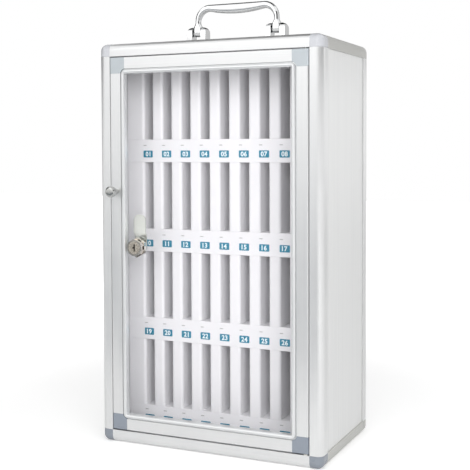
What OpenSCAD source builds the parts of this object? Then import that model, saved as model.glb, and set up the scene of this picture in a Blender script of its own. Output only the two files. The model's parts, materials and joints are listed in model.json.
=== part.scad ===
// Phone locker box: an aluminium-framed cabinet with a clear hinged door, a cam lock,
// a numbered four-tier slot rack and a folding carrying handle on top.
// Millimetres, +Z up. The origin lies on the resting plane, midway across the whole
// object from side to side and from the door knob to the back.

/* [Cabinet] */
// Overall width
body_w = 336; // [300:1:400]
// Overall depth of the cabinet
body_d = 204; // [180:1:260]
// Height without the handle
body_h = 570; // [520:1:640]
// Radius of the rounded outer edges
edge_r = 9.5; // [6:0.5:11]
// Width of a frame member seen from the front
face_w = 18; // [17:0.5:24]
// Depth of a frame member along its other side
leg_d = 22; // [20:0.5:28]
// Wall of the frame extrusions
wall_t = 1.6; // [1.2:0.1:2]
// Depth of the channel that holds a panel edge
chan_d = 5; // [4:0.5:6]
// Inner lip of the channel
lip_t = 1.4; // [1:0.1:2]
// Thickness of the side, top, bottom and back panels
panel_t = 3; // [2:0.5:4]
// Clearance of a panel or plug in the extrusions
panel_fit = 0.2; // [0.1:0.05:0.3]
// Length of the plugs that hold the corners in the extrusions
plug_l = 20; // [12:1:30]

/* [Door] */
// Gap above, below and at the hinge side of the door
door_gap = 1.2; // [1.1:0.1:2]
// Gap at the door's free edge
free_gap = 0.5; // [0.4:0.1:1.2]
// Thickness of the door frame
door_t = 11; // [10:0.5:13]
// Flat face of the door frame, outside the bead
flat_w = 16.5; // [15:0.5:20]
// Ledge behind the pane
ledge_w = 6.5; // [5:0.5:8]
// Thickness of that ledge
ledge_t = 1.2; // [1:0.1:2]
// Wall of the door extrusions
door_wall = 1.4; // [1:0.1:1.8]
// Rounding of the door's outer front edge
door_edge_r = 2; // [1:0.5:2]
// Thickness of the clear pane
pane_t = 2.8; // [2:0.1:4]
// Play around the pane's edge
pane_play = 0.5; // [0.3:0.1:0.8]
// Width of the bead that holds the pane
bead_w = 6.8; // [6:0.1:6.9]
// Height of the bead above the door's face
bead_rise = 2.5; // [1:0.1:3]
// Width of the groove between the bead and the door frame
groove_w = 1.4; // [0.6:0.1:2]
// Inner radius of the bead's corners
bead_in_r = 0.6; // [0.3:0.1:2]
// Pivot axis from the door's hinge edge
pivot_in = 5; // [4.5:0.1:6]
// Pivot axis behind the door's face
pivot_y = 3.5; // [3.5:0.1:4]
// Diameter of the pivot pins
pivot_d = 3; // [2:0.1:3.2]
// Depth of a pin in the door corner
pivot_l = 11; // [8:0.5:14]

/* [Rack] */
// Number of columns
columns = 9; // [7:1:9]
// Number of tiers
tiers = 4; // [3:1:4]
// Distance between columns
slot_pitch = 30.7; // [28:0.1:32]
// Width of a slot
slot_w = 13.2; // [11:0.1:18]
// Distance from the door's face to the rack's front
rack_set = 61.4; // [45:0.2:75]
// Height of the shelf front under a tier
shelf_h = 33.2; // [28:0.2:40]
// Height of the bottom shelf front
base_shelf_h = 35.6; // [34:0.2:46]
// Height of the rack's top moulding
head_h = 19; // [12:1:24]
// Wall of the rack mouldings
rack_wall = 2; // [1.5:0.1:3]
// Rounding of the bars' front edges
bar_r = 4; // [1:0.5:4]
// Width of a number label
label_w = 15.2; // [10:0.2:18]
// Height of a number label
label_h = 10; // [8:0.2:14]
// Thickness of a number label
label_t = 0.4; // [0.2:0.1:0.8]
// Label centre below the floor of its tier
label_drop = 21.2; // [12:0.2:24]
// How much higher the labels of the lowest tier sit on its taller front
base_label_lift = 1.8; // [0:0.1:4]

/* [Lock] */
// Lock axis from the door's free edge
lock_in = 39.1; // [36.3:0.1:45]
// Lock axis above the base
lock_z = 282; // [200:1:350]
// Size of the lock's hexagon across its flats
hex_af = 25; // [22:0.5:25]
// Thickness of the hexagon
hex_t = 4; // [3:0.5:5]
// Diameter of the lock's round front
lock_face_d = 23; // [21:0.5:23]
// Height of the round front above the hexagon
lock_face_t = 6.3; // [5:0.1:8]
// Diameter of the plug's head
plug_head_d = 18; // [14:0.5:18]
// Depth of the plug's head
plug_head_t = 2.8; // [2:0.2:3.6]
// Width of the notches around the lock's hexagon
notch_w = 5; // [3:0.5:6]
// Depth of those notches
notch_in = 2.9; // [1:0.1:3]
// Diameter of the plug's stem
plug_stem_d = 13; // [10:0.5:13]
// Diameter of the barrel through the pane
barrel_d = 19; // [17:0.5:19]
// Thickness of the nut behind the pane
nut_t = 3.4; // [2.6:0.2:4]
// Size of the nut across its flats
nut_af = 22; // [21:0.5:24]
// Width of the cam
cam_w = 19.5; // [14:0.5:20]
// Thickness of the cam
cam_t = 1.8; // [1.5:0.1:2]
// Reach of the cam from the lock's axis
cam_reach = 46; // [45.5:0.5:52]
// Running clearance of the plug in the barrel
plug_fit = 0.1; // [0.05:0.01:0.1]

/* [Knob] */
// Knob axis from the door's free edge
knob_in = 10.2; // [8:0.1:10.6]
// Knob axis above the base
knob_z = 361.3; // [330:0.1:480]
// Diameter of the knob
knob_d = 16; // [12:0.5:20]
// Length of the knob
knob_l = 22; // [18:0.5:28]
// Diameter of the knob's neck
knob_neck_d = 6.4; // [5.6:0.2:8]

/* [Handle] */
// Distance between the centres of the handle's legs
grip_span = 124.8; // [100:0.2:150]
// Distance of the handle behind the middle of the top
grip_back = 5; // [-20:1:20]
// Height of the handle's pivots above the cabinet's top
grip_pivot = 22; // [18:0.5:26]
// Top of the grip above the pivots
grip_rise = 40; // [36:0.5:60]
// Thickness of the grip beside its belly
grip_t = 9.7; // [8:0.1:12]
// Extra depth of the belly in the middle
belly = 4.8; // [1:0.2:8]
// Thickness of a leg seen from the front
leg_t = 6; // [5:0.5:8]
// Thickness of the handle from front to back
grip_d = 11; // [9:0.5:12]
// Outer radius of the handle's bends
grip_r = 22; // [18:0.5:26]
// Inner radius of the handle's bends
grip_in_r = 16; // [12:0.5:17]
// Width of the slot between a bracket's ears
ear_gap = 13.6; // [12:0.2:16]
// Thickness of an ear
ear_t = 8.4; // [7:0.2:10]
// Radius of an ear around the pivot
ear_r = 8; // [6.5:0.1:8.5]
// Diameter of the handle's pins
grip_pin_d = 5; // [4:0.1:6]
// Running clearance of the handle on its pins
grip_fit = 0.08; // [0.05:0.01:0.1]

/* [Hidden] */
$fn = 64;
eps = 0.01;
reach = 1000;
front_y = (knob_l - body_d) / 2;
half_w = body_w / 2;
pane_seat = wall_t + panel_fit;
flange_in = pane_seat + panel_t + panel_fit;
flange_out = flange_in + lip_t;
tuck = chan_d - lip_t - panel_fit;
open_x = half_w - face_w;
door_x = open_x - (door_gap + free_gap) / 2;
door_mid = (free_gap - door_gap) / 2;
door_z0 = face_w + door_gap;
door_z1 = body_h - face_w - door_gap;
door_corner_w = flat_w + ledge_w;
stop_gap = 0.2;
stop_w = 2.5;
jamb_d = door_t + stop_gap + lip_t;
pane_back = door_t - ledge_t;
pane_y = pane_back - pane_t;
bead_fit = 0.2;
bead_out_r = bead_in_r + bead_w;
groove_y = 2;
pivot_x = door_mid + door_x - pivot_in;
pivot_fit = 0.06;
washer_t = door_gap - 0.2;
washer_d = pivot_d + 2.6;

rack_half = half_w - flange_out - 0.6;
rack_y1 = body_d - flange_out - 0.6;
rack_z0 = flange_out;
rack_z1 = body_h - face_w - panel_fit;
slot_h = (rack_z1 - rack_z0 - base_shelf_h - (tiers - 1) * shelf_h - head_h) / tiers;
tier_pitch = slot_h + shelf_h;
end_bar_w = rack_half - (columns - 1) / 2 * slot_pitch - slot_w / 2;

lock_x = door_mid - door_x + lock_in;
hex_y = pane_y - hex_t;
face_y = hex_y - lock_face_t;
ring_t = 2.8;
notch_d = 3.3;
cam_play = 0.3;
cam_y = jamb_d + cam_play;
crank = 3.1;
hub_y = cam_y + crank;
barrel_end = hub_y - stop_gap;
hub_r = 14.5;
tongue_r = 21;
cam_tip_r = 8;
square_w = 7;
cam_screw_d = 4;
cam_head_d = 11;
cam_head_t = 2.3;
key_w = 2;
key_h = 10;
key_depth = 8;
key_notch = 2.4;

knob_x = door_mid - door_x + knob_in;
knob_neck_l = 1;
knob_rim = 3;
screw_d = 3.8;
screw_head_d = 7;
screw_head_t = 2;
screw_fit = 0.1;
screw_bite = 9;

grip_x = grip_span / 2;
grip_y = body_d / 2 + grip_back;
grip_z = body_h + grip_pivot;
top_z = body_h - pane_seat;
bracket_w = ear_gap + 2 * ear_t;
bracket_d = 22;
base_t = 3;
knuckle_w = ear_gap - 0.6;
knuckle_r = 6;
flare_h = 15;
bolt_d = 4;
bolt_head_d = 7;
bolt_head_t = 2;
bolt_x = (ear_gap + ear_t) / 2;
bolt_bite = 9;

levels = ["top", "bottom"];
sides = ["left", "right"];
ends = ["front", "rear"];

// Places drawn in cabinet coordinates, whose Y = 0 is the face of the door frame
module cabinet() {
    translate([0, front_y, 0]) children();
}

module on_right(yes) {
    if (yes) mirror([1, 0, 0]) children();
    else children();
}

module at_bottom(yes) {
    if (yes) translate([0, 0, body_h]) mirror([0, 0, 1]) children();
    else children();
}

module at_rear(yes) {
    if (yes) translate([0, body_d, 0]) mirror([0, 1, 0]) children();
    else children();
}

// The door's middle lies a little beside the cabinet's, because its gaps differ
module at_door() {
    translate([door_mid, 0, 0]) children();
}

// A cylinder along Y, from its near end towards the back
module rod_y(d, l, d2 = 0) {
    rotate([-90, 0, 0]) cylinder(d1 = d, d2 = d2 == 0 ? d : d2, h = l);
}

// A plate in the XZ plane, drawn in 2D as (x, z), from y to y + t
module plate_y(y, t) {
    translate([0, y + t, 0]) rotate([90, 0, 0]) linear_extrude(t) children();
}

// Rectangle a by b from the origin, with the corner at the origin rounded
module corner_sheet(a, b, r) {
    translate([r, 0]) square([a - r, b]);
    translate([0, r]) square([r + eps, b - r]);
    intersection() {
        translate([r, r]) circle(r);
        square([r + eps, r + eps]);
    }
}

// Rectangle about the origin with four round corners
module round_rect(w, h, r) {
    square([w - 2 * r, h], center = true);
    square([w, h - 2 * r], center = true);
    for (x = [-1, 1]) for (z = [-1, 1])
        translate([x * (w / 2 - r), z * (h / 2 - r)]) circle(r);
}

// Frame extrusions. In their 2D sections x runs along the narrow leg and y along the deep one.

module skin() {
    difference() {
        corner_sheet(face_w, leg_d, edge_r);
        translate([wall_t, wall_t]) corner_sheet(face_w, leg_d, edge_r - wall_t);
    }
}

// Channel for a panel edge at the end of the leg that runs along y
module channel(leg) {
    translate([flange_in, leg - chan_d]) square([lip_t, chan_d]);
    translate([wall_t - eps, leg - chan_d]) square([flange_out - wall_t + eps, lip_t]);
}

module panel_profile() {
    skin();
    channel(leg_d);
    mirror([1, -1]) channel(face_w);
}

module door_side_profile(stop = false) {
    skin();
    channel(leg_d);
    translate([face_w - wall_t, 0]) square([wall_t, jamb_d]);
    if (stop) translate([face_w - eps, jamb_d - lip_t]) square([stop_w + eps, lip_t]);
}

module post(right, rear) {
    color("gainsboro") on_right(right) at_rear(rear)
        translate([-half_w, 0, face_w]) linear_extrude(body_h - 2 * face_w)
            if (rear) panel_profile(); else door_side_profile(stop = !right);
}

module cross_rail(bottom, rear) {
    color("gainsboro") difference() {
        at_bottom(bottom) at_rear(rear) translate([-open_x, 0, body_h])
            rotate([0, 90, 0]) linear_extrude(2 * open_x)
                if (rear) panel_profile(); else door_side_profile();
        if (!rear) pivot_hole(pivot_d + 2 * pivot_fit);
    }
}

module side_rail(right, bottom) {
    color("silver") on_right(right) at_bottom(bottom)
        translate([-half_w, body_d - leg_d, body_h])
            rotate([90, 90, 0]) linear_extrude(body_d - 2 * leg_d) panel_profile();
}

// Rounded block of a corner, with its outer corner at the origin
module corner_block() {
    intersection() {
        cube([face_w, leg_d, face_w]);
        translate([edge_r, edge_r, edge_r]) union() {
            sphere(edge_r);
            cylinder(r = edge_r, h = reach);
            rotate([-90, 0, 0]) cylinder(r = edge_r, h = reach);
            rotate([0, 90, 0]) cylinder(r = edge_r, h = reach);
            translate([0, 0, -edge_r]) cube(reach);
            translate([0, -edge_r, 0]) cube(reach);
            translate([-edge_r, 0, 0]) cube(reach);
        }
    }
}

module corner_plug() {
    w = face_w - chan_d - wall_t - 2 * panel_fit;
    linear_extrude(plug_l + eps) translate([pane_seat, pane_seat])
        corner_sheet(w, w, edge_r - pane_seat);
}

// The rear corners are hollow on the inside, where the rack stands
module frame_corner(right, bottom, rear) {
    notch = tuck + panel_fit;
    hollow = flange_out - panel_fit;
    color("lightsteelblue") difference() {
        on_right(right) at_bottom(bottom) at_rear(rear)
            translate([-half_w, 0, body_h]) mirror([0, 0, 1]) difference() {
                union() {
                    corner_block();
                    translate([0, 0, face_w - eps]) corner_plug();
                    translate([face_w + plug_l, 0, 0]) rotate([0, -90, 0]) corner_plug();
                    translate([0, leg_d + plug_l, 0]) rotate([90, 0, 0]) corner_plug();
                }
                translate([wall_t, leg_d - notch, face_w - notch])
                    cube([flange_in - wall_t, plug_l, plug_l]);
                if (rear) {
                    translate([face_w - notch, wall_t, face_w - notch])
                        cube([plug_l, flange_in - wall_t, plug_l]);
                    translate([hollow, hollow, hollow]) cube(reach);
                }
            }
        if (right && !rear) pivot_hole(pivot_d);
    }
}

// Vertical hole on the door's pivot axis, through the top and the bottom of the frame
module pivot_hole(d) {
    depth = face_w - wall_t - pane_seat;
    for (z = [face_w - depth, body_h - face_w - eps])
        translate([pivot_x, pivot_y, z]) cylinder(d = d, h = depth + eps);
}

module side_panel(right) {
    color("whitesmoke") on_right(right)
        translate([-half_w + pane_seat, leg_d - tuck, face_w - tuck])
            cube([panel_t, body_d - 2 * (leg_d - tuck), body_h - 2 * (face_w - tuck)]);
}

module flat_panel() {
    x = half_w - leg_d + tuck;
    translate([-x, leg_d - tuck, 0]) cube([2 * x, body_d - 2 * (leg_d - tuck), panel_t]);
}

module bottom_panel() {
    color("whitesmoke") translate([0, 0, pane_seat]) flat_panel();
}

module top_panel() {
    color("whitesmoke") difference() {
        translate([0, 0, top_z - panel_t]) flat_panel();
        for (s = [-1, 1]) for (b = [-1, 1])
            translate([s * grip_x + b * bolt_x, grip_y, top_z - panel_t - 1])
                cylinder(d = bolt_d + 2 * screw_fit, h = panel_t + 2);
    }
}

module back_panel() {
    x = half_w - face_w + tuck;
    color("whitesmoke") translate([-x, body_d - pane_seat - panel_t, face_w - tuck])
        cube([2 * x, panel_t, body_h - 2 * (face_w - tuck)]);
}

// Rack. Tier 1 is the top one; shelf n carries tier n.

function floor_z(t) = rack_z0 + base_shelf_h + (tiers - t) * tier_pitch;
function label_z(t) = floor_z(t) - label_drop + (t == tiers ? base_label_lift : 0);
function shelf_z(t) = t == tiers ? rack_z0 : floor_z(t) - shelf_h;
function column_x(c) = (c - (columns + 1) / 2) * slot_pitch;

// Moulding with a front face, a top and a bottom, open at the back
module rack_beam(z0, z1) {
    color("white") translate([-rack_half, 0, 0]) difference() {
        translate([0, rack_set, z0]) cube([2 * rack_half, rack_y1 - rack_set, z1 - z0]);
        translate([rack_wall, rack_set + rack_wall, z0 + rack_wall])
            cube([2 * (rack_half - rack_wall), reach, z1 - z0 - 2 * rack_wall]);
    }
}

module rack_shelf(t) {
    rack_beam(shelf_z(t), floor_z(t));
}

module rack_head() {
    rack_beam(rack_z1 - head_h, rack_z1);
}

// Hollow bar between two slots, open at the back, with round front edges
module bar_section(w, r_left, r_right) {
    depth = rack_y1 - rack_set;
    difference() {
        square([w, depth]);
        if (r_left > 0) difference() {
            translate([-1, -1]) square([r_left + 1, r_left + 1]);
            translate([r_left, r_left]) circle(r_left);
        }
        if (r_right > 0) translate([w - r_right, 0]) difference() {
            translate([0, -1]) square([r_right + 1, r_right + 1]);
            translate([0, r_right]) circle(r_right);
        }
        translate([rack_wall, rack_wall + bar_r / 2])
            square([w - 2 * rack_wall, depth]);
    }
}

module rack_bars(t) {
    bar_w = slot_pitch - slot_w;
    color("white") translate([0, rack_set, floor_z(t)]) {
        for (c = [1 : columns - 1]) translate([column_x(c) + slot_w / 2, 0, 0])
            linear_extrude(slot_h) bar_section(bar_w, bar_r, bar_r);
        translate([-rack_half, 0, 0]) linear_extrude(slot_h) bar_section(end_bar_w, 0, bar_r);
        translate([rack_half - end_bar_w, 0, 0]) linear_extrude(slot_h)
            bar_section(end_bar_w, bar_r, 0);
    }
}

module number_labels() {
    color("steelblue") for (t = [1 : tiers]) for (c = [1 : columns])
        translate([column_x(c) - label_w / 2, rack_set - label_t,
                   label_z(t) - label_h / 2])
            cube([label_w, label_t, label_h]);
}

// Door

module door_profile() {
    difference() {
        corner_sheet(flat_w, door_t, door_edge_r);
        translate([door_wall, door_wall])
            square([flat_w - 2 * door_wall, door_t - 2 * door_wall]);
    }
    translate([flat_w - eps, pane_back]) square([ledge_w + eps, ledge_t]);
}

module door_stile(right) {
    color("gainsboro") difference() {
        at_door() on_right(right) translate([-door_x, 0, door_z0 + door_corner_w])
            linear_extrude(door_z1 - door_z0 - 2 * door_corner_w) door_profile();
        if (!right) translate([knob_x, -1, knob_z]) {
            rod_y(screw_d + 2 * screw_fit, door_wall + 2);
            translate([0, door_t / 2, 0]) rod_y(screw_head_d + 1, door_t);
        }
    }
}

module door_rail(bottom) {
    len = 2 * (door_x - door_corner_w);
    color("gainsboro") at_door() at_bottom(bottom) translate([-len / 2, 0, door_z1])
        rotate([0, 90, 0]) linear_extrude(len) door_profile();
}

// Plug that fits the hollow of a door extrusion
module door_plug() {
    inset = door_wall + panel_fit;
    linear_extrude(plug_l) translate([inset, inset])
        square([flat_w - 2 * inset, door_t - 2 * inset]);
}

module door_corner(right, bottom) {
    color("lightsteelblue") difference() {
        at_door() on_right(right) at_bottom(bottom)
            translate([-door_x, 0, door_z1]) mirror([0, 0, 1]) {
                difference() {
                    intersection() {
                        linear_extrude(door_corner_w)
                            corner_sheet(door_corner_w, door_t, door_edge_r);
                        translate([door_corner_w, 0, 0]) rotate([0, -90, 0])
                            linear_extrude(door_corner_w)
                                corner_sheet(door_corner_w, door_t, door_edge_r);
                    }
                    plate_y(-1, pane_back + 1) translate([flat_w, flat_w])
                        corner_sheet(reach, reach, bead_out_r + bead_fit);
                }
                translate([0, 0, door_corner_w - eps]) door_plug();
                translate([door_corner_w + plug_l - eps, 0, 0]) rotate([0, -90, 0]) door_plug();
            }
        if (right) for (z = [door_z0 - 1, door_z1 - pivot_l - 1])
            translate([pivot_x, pivot_y, z])
                cylinder(d = pivot_d + 2 * pivot_fit, h = pivot_l + 2);
    }
}

module door_pane() {
    w = 2 * (door_x - flat_w - pane_play);
    h = door_z1 - door_z0 - 2 * (flat_w + pane_play);
    color("azure", 0.3) difference() {
        at_door() translate([0, 0, body_h / 2]) plate_y(pane_y, pane_t)
            round_rect(w, h, bead_out_r + bead_fit - pane_play);
        translate([lock_x, 0, lock_z]) rod_y(barrel_d + 2 * panel_fit, door_t);
    }
}

// Section of the bead: x from its inner edge outwards, y from the front
module bead_section() {
    r = (bead_w - groove_w) / 2;
    translate([r, r - bead_rise]) circle(r);
    translate([0, r - bead_rise]) square([2 * r, pane_y + bead_rise - r]);
    translate([2 * r - eps, groove_y]) square([groove_w + eps, pane_y - groove_y]);
}

module pane_bead() {
    x = door_x - flat_w - bead_fit - bead_out_r;
    z = (door_z1 - door_z0) / 2 - flat_w - bead_fit - bead_out_r;
    color("whitesmoke") at_door() translate([0, 0, body_h / 2]) {
        for (s = [0, 1]) mirror([s, 0, 0]) translate([x + bead_in_r, 0, -z])
            linear_extrude(2 * z) bead_section();
        for (s = [0, 1]) mirror([0, 0, s]) translate([x, 0, z + bead_in_r])
            rotate([0, -90, 0]) linear_extrude(2 * x) bead_section();
        for (a = [0, 1]) for (b = [0, 1]) mirror([a, 0, 0]) mirror([0, 0, b])
            translate([x, 0, z]) rotate([-90, -90, 0])
                rotate_extrude(angle = 90) translate([bead_in_r, 0]) bead_section();
    }
}

module pivot_pins() {
    tail = face_w - wall_t - pane_seat;
    color("silver") {
        translate([pivot_x, pivot_y, face_w - tail])
            cylinder(d = pivot_d, h = tail + door_gap + pivot_l);
        translate([pivot_x, pivot_y, door_z1 - pivot_l])
            cylinder(d = pivot_d, h = tail + door_gap + pivot_l);
    }
}

module pivot_washer() {
    color("ivory") translate([pivot_x, pivot_y, face_w]) difference() {
        cylinder(d = washer_d, h = washer_t);
        translate([0, 0, -1]) cylinder(d = pivot_d + 2 * pivot_fit, h = washer_t + 2);
    }
}

module door_knob() {
    cone_l = knob_l - knob_neck_l - knob_rim;
    color("lightgray") translate([knob_x, 0, knob_z]) rotate([90, 0, 0]) difference() {
        union() {
            cylinder(d = knob_neck_d, h = knob_neck_l + eps);
            translate([0, 0, knob_neck_l])
                cylinder(d1 = knob_neck_d, d2 = knob_d, h = cone_l);
            translate([0, 0, knob_l - knob_rim]) rotate_extrude() {
                square([knob_d / 2 - knob_rim, knob_rim]);
                intersection() {
                    translate([knob_d / 2 - knob_rim, 0]) circle(knob_rim);
                    square([knob_d, knob_rim]);
                }
            }
        }
        translate([0, 0, -eps]) cylinder(d = screw_d, h = screw_bite);
    }
}

module knob_screw() {
    color("silver") translate([knob_x, door_wall, knob_z]) difference() {
        union() {
            rod_y(screw_head_d, screw_head_t);
            translate([0, 1 - screw_bite - door_wall, 0]) rod_y(screw_d, screw_bite + door_wall - 1 + eps);
        }
        for (a = [0, 90]) rotate([0, a, 0]) translate([-2, 1, -0.4]) cube([4, screw_head_t, 0.8]);
    }
}

// Cam lock

module at_lock(y) {
    translate([lock_x, y, lock_z]) children();
}

module hexagon(af, l) {
    rotate([-90, 0, 0]) rotate([0, 0, 30]) cylinder(d = af / cos(30), h = l, $fn = 6);
}

module lock_body() {
    cone_t = lock_face_t - ring_t;
    color("tan") difference() {
        union() {
            at_lock(hex_y) hexagon(hex_af, hex_t);
            at_lock(hex_y - cone_t) rod_y(lock_face_d, cone_t + eps, hex_af - 0.2);
            at_lock(face_y) rod_y(lock_face_d, ring_t + eps);
            at_lock(pane_y - eps) rod_y(barrel_d, barrel_end - pane_y + eps);
        }
        at_lock(face_y - 1) rod_y(plug_head_d + 2 * plug_fit, plug_head_t + 1 + plug_fit);
        at_lock(face_y) rod_y(plug_stem_d + 2 * plug_fit, reach);
        for (a = [0 : 60 : 300]) at_lock(hex_y - notch_d) rotate([0, a, 0])
            translate([hex_af / 2 - notch_in, 0, -notch_w / 2])
                cube([notch_in + 1, notch_d, notch_w]);
    }
}

module lock_plug() {
    stem = hub_y - 0.1 - face_y - plug_head_t;
    color("darkkhaki") difference() {
        union() {
            at_lock(face_y) rod_y(plug_head_d, plug_head_t);
            at_lock(face_y + plug_head_t - eps) rod_y(plug_stem_d, stem + eps);
            at_lock(hub_y - 0.2) translate([-square_w / 2 + 0.05, 0, -square_w / 2 + 0.05])
                cube([square_w - 0.1, cam_t + 0.1, square_w - 0.1]);
        }
        at_lock(face_y - 1) translate([-key_w / 2, 0, -key_h / 2])
            cube([key_w, key_depth + 1, key_h]);
        at_lock(face_y - 1) translate([-key_w / 2 - key_notch, 0, -key_w / 2])
            cube([key_notch + eps, key_depth + 1, key_w]);
        at_lock(hub_y - 5) rod_y(cam_screw_d, reach);
    }
}

module lock_nut() {
    color("darkgray") difference() {
        at_lock(pane_back) hexagon(nut_af, nut_t);
        at_lock(pane_back - 1) rod_y(barrel_d + plug_fit, nut_t + 2);
    }
}

// Cranked cam: a hub behind the barrel and a tongue just behind the frame's stop lip
module lock_cam() {
    y0 = cam_y;
    y1 = hub_y;
    color("lightgray") difference() {
        intersection() {
            at_lock(0) translate([-cam_w / 2, 0, 0]) rotate([90, 0, 90]) linear_extrude(cam_w)
                polygon([
                    [y1, -cam_w / 2], [y1, hub_r], [y0, tongue_r], [y0, cam_reach],
                    [y0 + cam_t, cam_reach], [y0 + cam_t, tongue_r + 0.7],
                    [y1 + cam_t, hub_r + 0.7], [y1 + cam_t, -cam_w / 2]
                ]);
            at_lock(0) plate_y(0, reach) {
                circle(d = cam_w);
                translate([-cam_w / 2, 0]) square([cam_w, cam_reach - cam_tip_r]);
                translate([0, cam_reach - cam_tip_r - 1])
                    round_rect(cam_w, 2 * cam_tip_r + 2, cam_tip_r);
            }
        }
        at_lock(0) translate([-square_w / 2, 0, -square_w / 2]) cube([square_w, reach, square_w]);
    }
}

module cam_screw() {
    shank = 4;
    color("silver") difference() {
        union() {
            at_lock(hub_y + cam_t) rod_y(cam_head_d, cam_head_t);
            at_lock(hub_y + cam_t - shank) rod_y(cam_screw_d, shank + eps);
        }
        for (a = [0, 90]) at_lock(hub_y + cam_t + 1) rotate([0, a, 0])
            translate([-3, 0, -0.5]) cube([6, cam_head_t, 1]);
    }
}

// Handle

module at_grip(s) {
    translate([s * grip_x, grip_y, grip_z]) children();
}

// Shape with a flat foot and two round shoulders, drawn as (x, z)
module shoulders(half, top, r) {
    intersection() {
        union() {
            translate([-half, 0]) square([2 * half, top - r]);
            translate([r - half, 0]) square([2 * (half - r), top]);
            for (s = [-1, 1]) translate([s * (half - r), top - r]) circle(r);
        }
        translate([-half, 0]) square([2 * half, top]);
    }
}

module handle_bail() {
    out = grip_x + leg_t / 2;
    in = grip_x - leg_t / 2;
    under = grip_rise - grip_t;
    chord = in - grip_in_r;
    belly_r = (chord * chord + belly * belly) / (2 * belly);
    color("silver") difference() {
        union() {
            translate([0, grip_y - grip_d / 2, grip_z]) plate_y(0, grip_d) difference() {
                shoulders(out, grip_rise, grip_r);
                difference() {
                    translate([0, -eps]) shoulders(in, under + eps, grip_in_r);
                    translate([0, under - belly + belly_r]) circle(belly_r, $fn = 360);
                }
            }
            for (s = [-1, 1]) at_grip(s) {
                translate([-knuckle_w / 2, 0, 0]) rotate([0, 90, 0])
                    cylinder(r = knuckle_r, h = knuckle_w);
                translate([0, -grip_d / 2, 0]) plate_y(0, grip_d) polygon([
                    [-knuckle_w / 2, 0], [knuckle_w / 2, 0], [knuckle_w / 2, knuckle_r - 1],
                    [leg_t / 2, flare_h], [-leg_t / 2, flare_h], [-knuckle_w / 2, knuckle_r - 1]
                ]);
            }
        }
        for (s = [-1, 1]) at_grip(s) translate([-bracket_w / 2, 0, 0]) rotate([0, 90, 0])
            cylinder(d = grip_pin_d + 2 * grip_fit, h = bracket_w);
    }
}

module handle_bracket() {
    foot = -(grip_z - top_z);
    pin_l = bracket_w - 4;
    difference() {
        union() {
            translate([-bracket_w / 2, -bracket_d / 2, foot]) cube([bracket_w, bracket_d, base_t]);
            intersection() {
                translate([-bracket_w / 2, 0, 0]) rotate([90, 0, 90]) linear_extrude(bracket_w) {
                    circle(ear_r);
                    translate([-ear_r, foot]) square([2 * ear_r, -foot]);
                }
                translate([0, -reach / 2, foot]) plate_y(0, reach)
                    shoulders(bracket_w / 2, ear_r - foot, ear_t - 1);
            }
        }
        translate([-ear_gap / 2, -reach / 2, foot + base_t]) cube([ear_gap, reach, reach]);
        translate([-pin_l / 2, 0, 0]) rotate([0, 90, 0]) cylinder(d = grip_pin_d, h = pin_l);
        for (b = [-1, 1]) translate([b * bolt_x, 0, foot - 1])
            cylinder(d = bolt_d, h = bolt_bite + 1);
    }
}

module handle_brackets() {
    color("silver") for (s = [-1, 1]) at_grip(s) handle_bracket();
}

module handle_pins() {
    pin_l = bracket_w - 4;
    color("dimgray") for (s = [-1, 1]) at_grip(s) translate([-pin_l / 2, 0, 0])
        rotate([0, 90, 0]) cylinder(d = grip_pin_d, h = pin_l);
}

module handle_bolts() {
    color("dimgray") for (s = [-1, 1]) for (b = [-1, 1])
        translate([s * grip_x + b * bolt_x, grip_y, top_z - panel_t]) difference() {
            union() {
                translate([0, 0, -bolt_head_t]) cylinder(d = bolt_head_d, h = bolt_head_t);
                translate([0, 0, -1]) cylinder(d = bolt_d, h = panel_t + bolt_bite);
            }
            for (a = [0, 90]) rotate([0, 0, a]) translate([-2.2, -0.4, -bolt_head_t - 1])
                cube([4.4, 0.8, 2]);
        }
}

for (e = ends) for (s = sides)
    cabinet() post(s == "right", e == "rear");
for (e = ends) for (l = levels)
    cabinet() cross_rail(l == "bottom", e == "rear");
for (s = sides) for (l = levels)
    cabinet() side_rail(s == "right", l == "bottom");
for (e = ends) for (l = levels) for (s = sides)
    cabinet() frame_corner(s == "right", l == "bottom", e == "rear");
for (s = sides)
    cabinet() side_panel(s == "right");
cabinet() top_panel();
cabinet() bottom_panel();
cabinet() back_panel();
for (t = [1 : tiers]) {
    cabinet() rack_shelf(t);
    cabinet() rack_bars(t);
}
cabinet() rack_head();
cabinet() number_labels();
for (s = sides)
    cabinet() door_stile(s == "right");
for (l = levels)
    cabinet() door_rail(l == "bottom");
for (l = levels) for (s = sides)
    cabinet() door_corner(s == "right", l == "bottom");
cabinet() door_pane();
cabinet() pane_bead();
cabinet() pivot_pins();
cabinet() pivot_washer();
cabinet() door_knob();
cabinet() knob_screw();
cabinet() lock_body();
cabinet() lock_plug();
cabinet() lock_nut();
cabinet() lock_cam();
cabinet() cam_screw();
cabinet() handle_bail();
cabinet() handle_brackets();
cabinet() handle_pins();
cabinet() handle_bolts();
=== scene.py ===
import json
import math

import bpy
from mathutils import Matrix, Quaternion, Vector

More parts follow.
